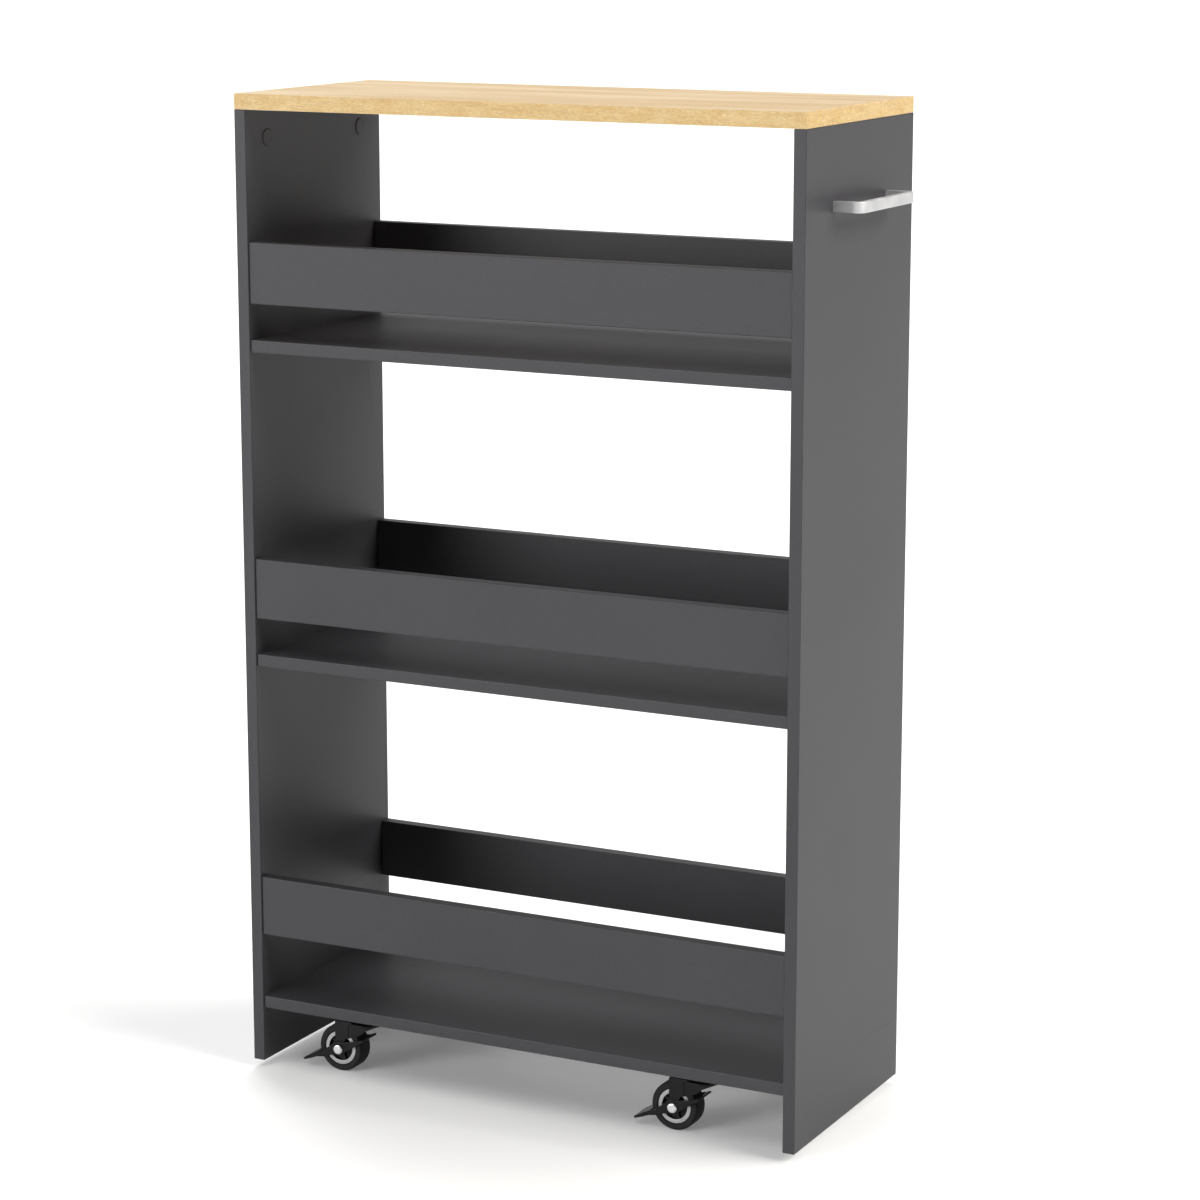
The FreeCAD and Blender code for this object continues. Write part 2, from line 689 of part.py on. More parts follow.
def make_caster_plate(corner):
    body = new_body(f"{corner}_caster_plate")
    sketch = new_sketch(body, "XY_Plane", PLATE_UNDERSIDE)
    draw_rectangle(sketch, *both_signs("dims.plate_size / 2"), *both_signs("dims.plate_size / 2"))
    pad(body, sketch, "dims.plate_thick")
    round_edges(body, "dims.plate_corner", lambda edge: edge.BoundBox.ZLength > SAME_PLACE)
    holes = [(x, y) for x in both_signs("dims.plate_screw_pitch / 2")
             for y in both_signs("dims.plate_screw_pitch / 2")]
    bore(body, "XY_Plane", PLATE_UNDERSIDE, "dims.plate_hole_radius", holes, "dims.plate_thick", True)
    bore(body, "XY_Plane", PLATE_UNDERSIDE, "(dims.kingpin_radius + dims.swivel_play)",
         [("0", "0")], "dims.plate_thick", True)
    return place(body, *caster_place(corner))


def make_swivel_race(corner):
    """The pressed cup under the plate, with the groove that the balls run in."""
    foot = "(dims.fork_top + dims.swivel_play)"
    hole = "(dims.kingpin_radius + dims.swivel_play)"
    body = turned(f"{corner}_swivel_race", [
        (hole, foot),
        ("dims.race_bottom_radius", foot),
        ("dims.race_top_radius", f"({foot} + {PLATE_UNDERSIDE}) / 2"),
        ("dims.race_top_radius", PLATE_UNDERSIDE),
        (hole, PLATE_UNDERSIDE),
    ])
    sketch = new_sketch(body, "XZ_Plane")
    draw_circle(sketch, "(dims.ball_radius + dims.swivel_play)", "dims.ball_circle_radius",
                f"({foot} + dims.ball_radius)")
    before = body.Shape.Volume
    groove = body.newObject("PartDesign::Groove", "groove")
    groove.Profile = sketch
    groove.ReferenceAxis = (sketch, ["V_Axis"])
    groove.Angle = 360
    doc.recompute()
    if body.Shape.Volume > before - SAME_VOLUME:
        raise RuntimeError("the ball groove cuts nothing")
    return place(body, *caster_place(corner))


def make_fork(corner):
    """A pressed steel fork: a round crown under the race and two cheeks beside the wheel."""
    body = new_body(f"{corner}_fork")
    width = f"{FORK_OUTER} * 2"
    crown = new_sketch(body, "XY_Plane", "dims.fork_top - dims.fork_crown_thick")
    pad(body, draw_circle(crown, "dims.fork_crown_radius"), "dims.fork_crown_thick")
    cheeks = new_sketch(body, "XZ_Plane")
    rear_edge = [(FORK_REAR, "dims.wheel_radius"), (FORK_REAR, "dims.fork_top")]
    draw_outline(cheeks, FORK_LOWER_EDGE + rear_edge)
    pad(body, cheeks, width, symmetric=True)
    eye = draw_circle(new_sketch(body, "XZ_Plane"), "dims.fork_eye_radius", "0 - dims.caster_trail",
                      "dims.wheel_radius")
    pad(body, eye, width, symmetric=True)
    wheel_gap = new_sketch(body, "XZ_Plane")
    draw_rectangle(wheel_gap, *both_signs("dims.plate_size"), "0", "dims.fork_top - dims.fork_crown_thick")
    pocket(body, wheel_gap, "dims.fork_inner_half * 2", symmetric=True)
    axle_hole = draw_circle(new_sketch(body, "XZ_Plane"), "(dims.axle_radius + dims.axle_play)",
                            "0 - dims.caster_trail", "dims.wheel_radius")
    pocket(body, axle_hole, width, symmetric=True)
    bore(body, "XY_Plane", "dims.fork_top", "(dims.kingpin_radius + dims.kingpin_play)",
         [("0", "0")], "dims.fork_crown_thick")
    for face, backwards in zip(both_signs(FORK_OUTER), (True, False)):
        crease = new_sketch(body, "XZ_Plane", face)
        draw_rectangle(crease, "0 - dims.fork_crease_setback - dims.fork_crease_width",
                       "0 - dims.fork_crease_setback", "dims.fork_crease_foot",
                       "dims.fork_top - dims.fork_crown_thick")
        pocket(body, crease, "dims.fork_crease_depth", backwards=backwards)
    return place(body, *caster_place(corner))


def wheel_place(corner):
    x, y = caster_place(corner)
    return f"{x} - dims.caster_trail", y, "dims.wheel_radius"


def make_axle(corner):
    """A riveted axle with a domed head to the front, over the lever where there is one."""
    reach = f"({LEVER_OUTER if corner.startswith('front') else FORK_OUTER} + dims.axle_play)"
    head = f"(0 - {reach} - dims.axle_head_height)"
    tail = f"({reach} + dims.axle_tail_height)"
    body = turned(f"{corner}_axle", [
        ("0", head),
        ("dims.axle_head_radius", head),
        ("dims.axle_head_radius", f"0 - {reach}"),
        ("dims.axle_radius", f"0 - {reach}"),
        ("dims.axle_radius", reach),
        ("dims.axle_tail_radius", reach),
        ("dims.axle_tail_radius", tail),
        ("0", tail),
    ], about="Y")
    round_edges(body, "dims.axle_head_height - dims.rivet_rim_height",
                lambda edge: is_rim(edge, "dims.axle_head_radius", head, "y"))
    round_edges(body, "dims.axle_tail_height - dims.rivet_rim_height",
                lambda edge: is_rim(edge, "dims.axle_tail_radius", tail, "y"))
    return place(body, *wheel_place(corner))


def make_wheel_hub(corner):
    """The moulded wheel centre: a boss on the axle, a web with five spokes, and the rim."""
    body = new_body(f"{corner}_wheel_hub")
    bore_radius = "(dims.axle_radius + dims.axle_play)"
    rim = "(dims.rim_radius - dims.swivel_play)"
    half_outline = [
        ("dims.boss_radius", "dims.boss_half_width"),
        ("dims.boss_radius", "dims.web_half_width"),
        ("dims.rim_inner_radius", "dims.web_half_width"),
        ("dims.rim_inner_radius", "dims.rim_half_width"),
        (rim, "dims.rim_half_width"),
    ]
    rear = [(bore_radius, "dims.boss_half_width")] + half_outline
    front = [(radius, f"0 - {level}") for radius, level in reversed(rear)]
    revolve(body, draw_outline(new_sketch(body, "XY_Plane"), rear + front))
    doc.recompute()
    spoke = new_sketch(body, "XZ_Plane")
    draw_rectangle(spoke, "dims.boss_radius - dims.spoke_setback",
                   "dims.rim_inner_radius + dims.spoke_setback", *both_signs("dims.spoke_width / 2"))
    spoke_pad = pad(body, spoke, "(dims.rim_half_width - dims.spoke_setback) * 2", symmetric=True)
    doc.recompute()
    pattern = body.newObject("PartDesign::PolarPattern", "spokes")
    pattern.Originals = [spoke_pad]
    y_axis = next(f for f in body.Origin.OriginFeatures if f.Role == "Y_Axis")
    pattern.Axis = (y_axis, [""])
    pattern.Angle = 360
    pattern.Occurrences = WHEEL_SPOKES
    body.Tip = pattern
    return place(body, *wheel_place(corner))


def make_rim_rings(corner):
    """The two bright rings let into the wheel's faces."""
    inner = "dims.rim_inner_radius"
    outer = "(dims.rim_radius - dims.swivel_play)"
    face = "(dims.rim_half_width + dims.ring_thick)"
    template = turned(f"{corner}_ring_template", [
        (inner, "dims.rim_half_width"),
        (outer, "dims.rim_half_width"),
        (outer, face),
        (f"{inner} + dims.ring_bevel", face),
        (inner, f"{face} - dims.ring_bevel"),
    ], about="Y")
    wheel = Vector(*(value(expression) for expression in wheel_place(corner)))
    places = [Placement(wheel, Rotation(Vector(0, 0, 1), angle)) for angle in (0, 180)]
    return group(f"{corner}_rim_rings", template, places)


def make_tyre(corner):
    half = "dims.tyre_half_width"
    lip = "(dims.rim_half_width + dims.ring_thick)"
    flank = "dims.rim_radius + dims.tyre_flank_rise"
    body = turned(f"{corner}_tyre", [
        ("dims.rim_radius", f"0 - {lip}"),
        (flank, f"0 - {half}"),
        ("dims.wheel_radius", f"0 - {half}"),
        ("dims.wheel_radius", half),
        (flank, half),
        ("dims.rim_radius", lip),
    ], about="Y")
    round_edges(body, "dims.tyre_shoulder",
                lambda edge: is_rim(edge, "dims.wheel_radius", half, "y")
                or is_rim(edge, "dims.wheel_radius", f"0 - {half}", "y"))
    return place(body, *wheel_place(corner))


def make_brake_lever(corner):
    """A lever that straddles the fork on the axle, with a pedal and a release tab."""
    body = new_body(f"{corner}_brake_lever")
    width = f"{LEVER_OUTER} * 2"
    outline = new_sketch(body, "XZ_Plane")
    draw_outline(outline, LEVER_OUTLINE)
    pad(body, outline, width, symmetric=True)
    pad(body, draw_circle(new_sketch(body, "XZ_Plane"), "dims.lever_eye_radius"), width, symmetric=True)
    fork_gap = new_sketch(body, "XZ_Plane")
    clear_of_wheel = "(dims.wheel_radius + dims.lever_wheel_room)"
    draw_rectangle(fork_gap, *both_signs(clear_of_wheel), *both_signs(clear_of_wheel))
    pocket(body, fork_gap, f"{LEVER_INNER} * 2", symmetric=True)
    axle_hole = draw_circle(new_sketch(body, "XZ_Plane"), "(dims.axle_radius + dims.axle_play)")
    pocket(body, axle_hole, width, symmetric=True)
    return place(body, *wheel_place(corner))


def make_kingpins():
    """Rivets that hold each fork's crown up against its race."""
    head_top = "(dims.fork_top - dims.fork_crown_thick - dims.joint_gap)"
    head_foot = f"({head_top} - dims.kingpin_head_height)"
    top = f"({SHELF_UNDERSIDE} - dims.joint_gap * 2)"
    template = turned("kingpin_template", [
        ("0", head_foot),
        ("dims.kingpin_head_radius - dims.kingpin_head_bevel", head_foot),
        ("dims.kingpin_head_radius", f"{head_foot} + dims.kingpin_head_bevel"),
        ("dims.kingpin_head_radius", head_top),
        ("dims.kingpin_radius", head_top),
        ("dims.kingpin_radius", top),
        ("0", top),
    ])
    places = [at(*caster_point(corner), 0) for corner in CORNERS]
    return group("caster_kingpins", template, places)


def caster_point(corner):
    x, y = caster_place(corner)
    return value(x), value(y)


def make_bearing_balls():
    template = doc.addObject("Part::Sphere", "ball_template")
    template.setExpression("Radius", "dims.ball_radius")
    doc.recompute()
    radius = value("dims.ball_circle_radius")
    height = value("dims.fork_top + dims.swivel_play + dims.ball_radius")
    places = []
    for corner in CORNERS:
        x, y = caster_point(corner)
        for i in range(BALLS_PER_RACE):
            angle = 2 * math.pi * i / BALLS_PER_RACE
            places.append(at(x + radius * math.cos(angle), y + radius * math.sin(angle), height))
    return group("swivel_bearing_balls", template, places)


def make_caster_screws():
    template = screw_template(
        "caster_screw_template", "dims.screw_radius", "(dims.plate_thick + dims.screw_bite)",
        "dims.screw_head_radius", "dims.screw_head_height")
    half_pitch = value("dims.plate_screw_pitch / 2")
    height = value(PLATE_UNDERSIDE)
    places = []
    for corner in CORNERS:
        x, y = caster_point(corner)
        places += [at(x + u, y + v, height) for u in (-half_pitch, half_pitch)
                   for v in (-half_pitch, half_pitch)]
    return group("caster_screws", template, places)


# ---------------------------------------------------------------------------
# The cart
# ---------------------------------------------------------------------------

CORNERS = [f"{end}_{side}" for end in ENDS for side in SIDES]

nodes = [make_top_board()]
nodes += [make_side_panel(side) for side in SIDES]
nodes += [make_shelf(level) for level in SHELVES]
nodes += [make_rail(level, end) for level in SHELVES for end in ("front", "back")]
nodes += [make_cam_bolts(), make_cam_locks(), make_wooden_dowels(), make_cam_cover_caps()]
nodes += [make_pull_handle(), make_handle_screws()]
for corner in CORNERS:
    nodes += [make_caster_plate(corner), make_swivel_race(corner), make_fork(corner)]
    nodes += [make_axle(corner), make_wheel_hub(corner), make_rim_rings(corner), make_tyre(corner)]
    if corner.startswith("front"):
        nodes.append(make_brake_lever(corner))
nodes += [make_kingpins(), make_bearing_balls(), make_caster_screws()]
doc.recompute()

for thing in doc.Objects:
    if "Invalid" in thing.State or "Error" in thing.State:
        raise RuntimeError(f"{thing.Label} failed: {thing.State}")
for node in nodes:
    if node.Shape.isNull() or not node.Shape.isValid() or not node.Shape.Solids:
        raise RuntimeError(f"{node.Label} has no valid solid")

os.makedirs("parts", exist_ok=True)
for node in nodes:
    node.Shape.exportStep(f"parts/{node.Label}.step")

whole = Part.makeCompound([node.Shape for node in nodes]).optimalBoundingBox(True, False)
print(f"{len(nodes)} nodes, {whole.XLength:.1f} x {whole.YLength:.1f} x {whole.ZLength:.1f} mm")
print(f"x {whole.XMin:.2f} to {whole.XMax:.2f}, y {whole.YMin:.2f} to {whole.YMax:.2f}, "
      f"z {whole.ZMin:.2f} to {whole.ZMax:.2f}")
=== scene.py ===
import math

import bpy
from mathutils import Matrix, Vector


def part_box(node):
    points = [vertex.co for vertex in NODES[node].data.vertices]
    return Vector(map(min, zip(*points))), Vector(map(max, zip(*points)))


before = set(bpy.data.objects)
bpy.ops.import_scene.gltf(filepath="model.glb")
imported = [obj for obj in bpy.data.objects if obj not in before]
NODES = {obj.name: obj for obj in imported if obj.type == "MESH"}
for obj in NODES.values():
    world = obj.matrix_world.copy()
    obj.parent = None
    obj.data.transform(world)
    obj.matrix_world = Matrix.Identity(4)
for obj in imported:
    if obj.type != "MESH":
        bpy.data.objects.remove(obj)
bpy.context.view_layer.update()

MM = 0.001


# ---------------------------------------------------------------------------
# Node graphs
# ---------------------------------------------------------------------------

def srgb(red, green, blue):
    """A screen colour, each part from 0 to 255, as the linear colour that shaders take."""
    def linear(part):
        share = part / 255
        return share / 12.92 if share <= 0.04045 else ((share + 0.055) / 1.055) ** 2.4
    return (linear(red), linear(green), linear(blue), 1.0)


def feed(tree, socket, value):
    """Fills an input from another node's output, or with a plain value."""
    if isinstance(value, bpy.types.NodeSocket):
        tree.links.new(value, socket)
    else:
        socket.default_value = value


class Finish:
    """A material and short ways to add to its graph. Sockets and plain values mix freely."""

    def __init__(self, name, roughness, metallic=0.0, specular=0.5):
        self.material = bpy.data.materials.new(name)
        self.material.use_nodes = True
        self.tree = self.material.node_tree
        self.shader = self.tree.nodes["Principled BSDF"]
        self.shader.inputs["Roughness"].default_value = roughness
        self.shader.inputs["Metallic"].default_value = metallic
        self.shader.inputs["Specular IOR Level"].default_value = specular
        self.point = self.add("TexCoord").outputs["Object"]

    def add(self, kind, values=(), **settings):
        """A new node with its settings, and its inputs filled by name or number."""
        node = self.tree.nodes.new("ShaderNode" + kind)
        for key, setting in settings.items():
            setattr(node, key, setting)
        for key, value in dict(values).items():
            feed(self.tree, node.inputs[key], value)
        return node

    def math(self, operation, first, second=0.0):
        return self.add("Math", {0: first, 1: second}, operation=operation).outputs[0]

    def vector(self, operation, first, second=(0.0, 0.0, 0.0)):
        return self.add("VectorMath", {0: first, 1: second}, operation=operation).outputs[0]

    def parts(self, vector):
        node = self.add("SeparateXYZ", {0: vector})
        return [node.outputs[i] for i in range(3)]

    def joined(self, x, y, z):
        return self.add("CombineXYZ", {0: x, 1: y, 2: z}).outputs[0]

    def scaled(self, factors):
        """The point, stretched by a factor on each axis."""
        return self.vector("MULTIPLY", self.point, factors)

    def noise(self, scale, vector=None, detail=2.0, roughness=0.5, distortion=0.0):
        """Noise from 0 to 1, with features about 1 / scale metres across."""
        node = self.add("TexNoise", {
            "Vector": self.point if vector is None else vector, "Scale": scale,
            "Detail": detail, "Roughness": roughness, "Distortion": distortion})
        return node.outputs["Fac"]

    def span(self, value, low, high, out_low=0.0, out_high=1.0):
        """Maps low..high to out_low..out_high, and holds beyond both ends."""
        node = self.add("MapRange", {
            "Value": value, "From Min": low, "From Max": high, "To Min": out_low, "To Max": out_high})
        return node.outputs["Result"]

    def vary(self, noise, low, high, reach=0.2):
        """A value that follows a noise: low..high over the noise's middle, reach each side of 0.5."""
        return self.span(noise, 0.5 - reach, 0.5 + reach, low, high)

    def mix(self, share, first, second):
        """The first colour at share 0, and the second at share 1."""
        node = self.add("Mix", data_type="RGBA")
        colours = [i for i in node.inputs if i.type == "RGBA"]
        feed(self.tree, node.inputs[0], share)
        feed(self.tree, colours[0], first)
        feed(self.tree, colours[1], second)
        return next(o for o in node.outputs if o.type == "RGBA")

    def mottle(self, noise, first, second, reach=0.2):
        """Two colours that change places as a noise does."""
        return self.mix(self.vary(noise, 0.0, 1.0, reach), first, second)

    def stain(self, colour, over, mask, strength):
        """Lays a second colour over the first where a mask of 0 to 1 says, at part strength."""
        return self.mix(self.math("MULTIPLY", mask, strength), colour, over)

    def shade(self, colour, *factors):
        """A colour made lighter or darker by factors near 1."""
        for factor in factors:
            node = self.add("VectorMath", {0: colour, "Scale": factor}, operation="SCALE")
            colour = node.outputs[0]
        return colour

    def add_share(self, value, mask, amount):
        """A value raised by an amount times a mask."""
        return self.math("ADD", value, self.math("MULTIPLY", mask, amount))

    def bump(self, height, depth, strength, under=None):
        """Relief: a height of 1 stands depth metres proud."""
        values = {"Height": height, "Distance": depth, "Strength": strength}
        if under is not None:
            values["Normal"] = under
        return self.add("Bump", values).outputs["Normal"]

    def set(self, colour, roughness, normal):
        """Plugs the three graphs into the shader, and gives the material."""
        feed(self.tree, self.shader.inputs["Base Color"], colour)
        feed(self.tree, self.shader.inputs["Roughness"], roughness)
        feed(self.tree, self.shader.inputs["Normal"], normal)
        return self.material


# ---------------------------------------------------------------------------
# Boards and dowels
# ---------------------------------------------------------------------------

BAND_THICK = 0.8 * MM
SEAM_HALF = 0.12 * MM
SEAM_DEPTH = 0.06 * MM
SEAM_STRENGTH = 0.8
WEAR_AND_HIGHLIGHT_REACH = (0.2 * MM, 1.4 * MM)

CHARCOAL = srgb(57, 56, 59)
CHARCOAL_DEEP = srgb(52, 51, 54)
# Lighter charcoal for scuffs, and for the arrises, where it is partly wear and partly a painted highlight.
CHARCOAL_WORN_AND_HIGHLIGHT = srgb(86, 84, 87)

OAK_PALE = srgb(212, 193, 163)
OAK = srgb(194, 169, 132)
OAK_TAN = srgb(172, 141, 100)
OAK_PORE = srgb(118, 84, 50)
OAK_BAND = srgb(199, 173, 124)
OAK_BAND_DEEP = srgb(190, 157, 101)
RINGS_PER_METRE = 34.0

BEECH_PALE = srgb(224, 192, 152)
BEECH_DEEP = srgb(206, 168, 126)
BEECH_RAY = srgb(150, 104, 66)


class BoardFaces:
    """Where a point lies on a board's box: on a wide face or an edge, and how far from an arris."""

    def __init__(self, finish, low, high):
        centre = (low + high) / 2
        half = (high - low) / 2
        offset = finish.vector("SUBTRACT", finish.point, tuple(centre))
        depth = finish.vector("SUBTRACT", tuple(half), finish.vector("ABSOLUTE", offset))
        x, y, z = finish.parts(depth)
        lower = finish.math("MINIMUM", x, y)
        upper = finish.math("MAXIMUM", x, y)
        self.arris = finish.math("MAXIMUM", lower, finish.math("MINIMUM", upper, z))
        thin_axis = min(range(3), key=lambda axis: half[axis])
        self.wide = finish.math("LESS_THAN", (x, y, z)[thin_axis], BAND_THICK / 2)
        from_seam = finish.math("ABSOLUTE", finish.math("SUBTRACT", self.arris, BAND_THICK))
        line = finish.span(from_seam, 0.0, SEAM_HALF, 1.0, 0.0)
        self.seam = finish.math("MULTIPLY", line, self.wide)


def charcoal_melamine(name, low, high):
    """Charcoal melamine on particle board: an even satin film with a fine pebble, and arrises painted
    lighter, partly as wear and partly as a painted highlight.
    """
    finish = Finish(name, roughness=0.45, specular=0.22)
    faces = BoardFaces(finish, low, high)
    cloud = finish.noise(5, detail=3)
    pebble = finish.noise(1500, detail=2)
    fleck = finish.noise(420, detail=3, roughness=0.7)
    level_streaks = finish.noise(9, finish.scaled((1, 1, 14)), detail=4, roughness=0.7)
    scuff = finish.span(level_streaks, 0.62, 0.8)
    # Arrises lighter and smoother in patches: partly wear, partly a painted highlight of the rounded edge.
    near_arris = finish.span(faces.arris, *WEAR_AND_HIGHLIGHT_REACH, 1.0, 0.0)
    wear_and_highlight = finish.math("MULTIPLY", near_arris, finish.span(finish.noise(45, detail=4), 0.35, 0.75))

    colour = finish.mottle(cloud, CHARCOAL_DEEP, CHARCOAL)
    colour = finish.shade(colour, finish.vary(fleck, 0.90, 1.10, reach=0.25))
    colour = finish.shade(colour, finish.span(faces.seam, 0.0, 1.0, 1.0, 0.6))
    colour = finish.stain(colour, CHARCOAL_WORN_AND_HIGHLIGHT, wear_and_highlight, 0.35)
    colour = finish.stain(colour, CHARCOAL_WORN_AND_HIGHLIGHT, scuff, 0.12)
    rough = finish.add_share(finish.vary(cloud, 0.40, 0.47), scuff, 0.08)
    rough = finish.add_share(rough, wear_and_highlight, -0.06)
    relief = finish.bump(pebble, 0.05 * MM, 0.6)
    relief = finish.bump(faces.seam, -SEAM_DEPTH, SEAM_STRENGTH, relief)
    return finish.set(colour, rough, relief)


class OakGrain:
    """Where a point lies in the decor: along the grain and across it."""

    def __init__(self, finish, low, high):
        x, y, self.z = finish.parts(finish.point)
        # On the short ends the decor runs across the board, so the axes change places there.
        off_centre = finish.math("ABSOLUTE", finish.math("SUBTRACT", x, (low.x + high.x) / 2))
        end_depth = finish.math("SUBTRACT", (high.x - low.x) / 2, off_centre)
        on_end = finish.math("LESS_THAN", end_depth, BAND_THICK / 2)
        self.along = finish.add_share(x, on_end, finish.math("SUBTRACT", y, x))
        self.across = finish.add_share(y, on_end, finish.math("SUBTRACT", x, y))
        self.finish = finish
        self.point = finish.joined(self.along, self.across, self.z)

    def streaks(self, scale, stretch, **noise):
        """Noise whose features are longer along the grain than across it, by the stretch."""
        point = self.finish.vector("MULTIPLY", self.point, (1.0, stretch, stretch))
        return self.finish.noise(scale, point, **noise)

    def rings(self):
        """Faint growth bands that run along the board and wander a little."""
        warp = self.streaks(2.2, 4, detail=2)
        across = self.finish.add_share(self.across, warp, 0.05)
        drawn_out = self.finish.math("MULTIPLY", self.along, 0.05)
        wave = self.finish.add("TexWave", {
            "Vector": self.finish.joined(drawn_out, across, self.z), "Scale": RINGS_PER_METRE,
            "Distortion": 2.6, "Detail": 3.0, "Detail Scale": 1.6},
            wave_type="BANDS", bands_direction="Y", wave_profile="SAW")
        return wave.outputs["Fac"]


def oak_laminate(name, low, high):
    """Pale oak decor: grain along the board, with pores, faint growth bands and a banded edge."""
    finish = Finish(name, roughness=0.6, specular=0.15)
    faces = BoardFaces(finish, low, high)
    grain = OakGrain(finish, low, high)
    edge = finish.math("SUBTRACT", 1.0, faces.wide)
    broad = grain.streaks(3, 9, detail=4, roughness=0.6)
    fibre = grain.streaks(26, 26, detail=5, roughness=0.65)
    pores = finish.span(grain.streaks(110, 14, detail=3, roughness=0.5), 0.60, 0.74)
    fleck = grain.streaks(260, 3.2, detail=3, roughness=0.6)
    blotch = grain.streaks(55, 3, detail=4, roughness=0.65)

    face = finish.mottle(broad, OAK_PALE, OAK, reach=0.12)
    face = finish.stain(face, OAK_TAN, finish.span(grain.rings(), 0.35, 1.0), 0.45)
    band = finish.mix(finish.span(blotch, 0.38, 0.66), OAK_BAND, OAK_BAND_DEEP)
    colour = finish.stain(face, band, edge, 0.85)
    colour = finish.shade(colour, finish.vary(fibre, 0.87, 1.08, reach=0.25))
    colour = finish.shade(colour, finish.span(faces.seam, 0.0, 1.0, 1.0, 0.72))
    speckle_depth = finish.span(edge, 0.0, 1.0, 0.09, 0.16)
    speckle = finish.math("MULTIPLY", finish.vary(fleck, -1.0, 1.0), speckle_depth)
    colour = finish.shade(colour, finish.math("ADD", 1.0, speckle))
    colour = finish.stain(colour, OAK_PORE, pores, 0.22)
    rough = finish.add_share(finish.vary(fibre, 0.55, 0.66, reach=0.3), pores, 0.12)
    relief = finish.bump(fibre, 0.04 * MM, 0.5)
    relief = finish.bump(pores, -0.05 * MM, 0.6, relief)
    relief = finish.bump(faces.seam, -SEAM_DEPTH, SEAM_STRENGTH, relief)
    return finish.set(colour, rough, relief)


def beech():
    """Turned beech: straight grain with the small dark rays of the species."""
    finish = Finish("beech", roughness=0.6)
    grain = finish.noise(40, finish.scaled((1, 9, 9)), detail=5, roughness=0.6)
    rays = finish.span(finish.noise(260, finish.scaled((1, 5, 5)), detail=2), 0.6, 0.72)
    colour = finish.mottle(grain, BEECH_DEEP, BEECH_PALE)
    colour = finish.stain(colour, BEECH_RAY, rays, 0.4)
    rough = finish.vary(grain, 0.55, 0.7, reach=0.3)
    return finish.set(colour, rough, finish.bump(grain, 0.05 * MM, 0.6))


# ---------------------------------------------------------------------------
# Metals
# ---------------------------------------------------------------------------

# Each metal: its colour, its duller colour, its roughness where bright and where dull,
# and how many features of its grain there are in a metre.
METALS = {
    "zinc_steel": (srgb(196, 198, 202), srgb(170, 174, 182), 0.28, 0.42, 300),
    "zinc_alloy": (srgb(176, 177, 180), srgb(150, 152, 157), 0.38, 0.55, 180),
    "black_zinc": (srgb(62, 63, 66), srgb(44, 45, 48), 0.30, 0.45, 300),
    "polished_steel": (srgb(224, 224, 224), srgb(206, 206, 207), 0.16, 0.26, 300),
}

NICKEL = srgb(210, 210, 210)
NICKEL_HAZE = srgb(194, 194, 196)
PLATING_DEPTH = 0.012 * MM

BLACK_COAT = srgb(18, 18, 19)
BLACK_COAT_DEEP = srgb(11, 11, 12)
COAT_DUST = srgb(120, 116, 110)


def metal(name, colour, dull, bright_rough, dull_rough, grain_scale):
    """A bare or plated metal, whose brightness and polish vary a little."""
    finish = Finish(name, roughness=bright_rough, metallic=1.0)
    grain = finish.noise(grain_scale, detail=4, roughness=0.6)
    cloud = finish.noise(60, detail=3)
    tone = finish.shade(finish.mottle(cloud, dull, colour), finish.vary(grain, 0.92, 1.05, reach=0.3))
    scratch = finish.span(finish.noise(900, finish.scaled((0.2, 0.6, 1.5)), detail=2), 0.66, 0.76)
    rough = finish.add_share(finish.vary(grain, bright_rough, dull_rough, reach=0.25), scratch, 0.1)
    return finish.set(tone, rough, finish.bump(grain, 0.01 * MM, 0.5))


def satin_nickel():
    """Brushed nickel plate: the brush lines run level, along the bar and round its bends."""
    finish = Finish("satin_nickel", roughness=0.5, metallic=1.0)
    lines = finish.noise(1.0, finish.scaled((30, 30, 3600)), detail=4, roughness=0.7)
    broad = finish.noise(1.0, finish.scaled((12, 12, 700)), detail=2)
    haze = finish.noise(55, detail=3)
    colour = finish.mottle(haze, NICKEL_HAZE, NICKEL)
    colour = finish.shade(colour, finish.vary(lines, 0.84, 1.08, reach=0.3))
    rough = finish.math("ADD", finish.vary(lines, 0.44, 0.58, reach=0.3), finish.vary(haze, 0.0, 0.04))
    relief = finish.bump(broad, PLATING_DEPTH, 0.5)
    return finish.set(colour, rough, finish.bump(lines, PLATING_DEPTH, 0.6, relief))


def black_steel():
    """Black electro-coated pressed steel: satin, with orange peel and a little dust."""
    finish = Finish("black_steel", roughness=0.4, specular=0.15)
    peel = finish.noise(700, detail=2)
    cloud = finish.noise(90, detail=4)
    dust = finish.span(finish.noise(260, detail=5, roughness=0.7), 0.55, 0.8)
    colour = finish.mottle(cloud, BLACK_COAT_DEEP, BLACK_COAT)
    colour = finish.stain(colour, COAT_DUST, dust, 0.03)
    rough = finish.add_share(finish.vary(cloud, 0.30, 0.42), dust, 0.15)
    return finish.set(colour, rough, finish.bump(peel, 0.03 * MM, 0.4))


# ---------------------------------------------------------------------------
# Plastics
# ---------------------------------------------------------------------------

# Each plastic: its colour, its deeper colour, its lowest and highest roughness,
# and its metallic and specular shares.
PLASTICS = {
    "grey_plastic": (srgb(60, 59, 62), srgb(54, 53, 56), 0.44, 0.52, 0.0, 0.22),
    "black_plastic": (srgb(20, 20, 21), srgb(14, 14, 15), 0.36, 0.48, 0.0, 0.2),
    "silver_plastic": (srgb(162, 162, 162), srgb(146, 146, 146), 0.36, 0.46, 0.7, 0.3),
}

TYRE = srgb(23, 23, 24)
TYRE_DEEP = srgb(16, 16, 17)
TYRE_DUST = srgb(128, 124, 118)


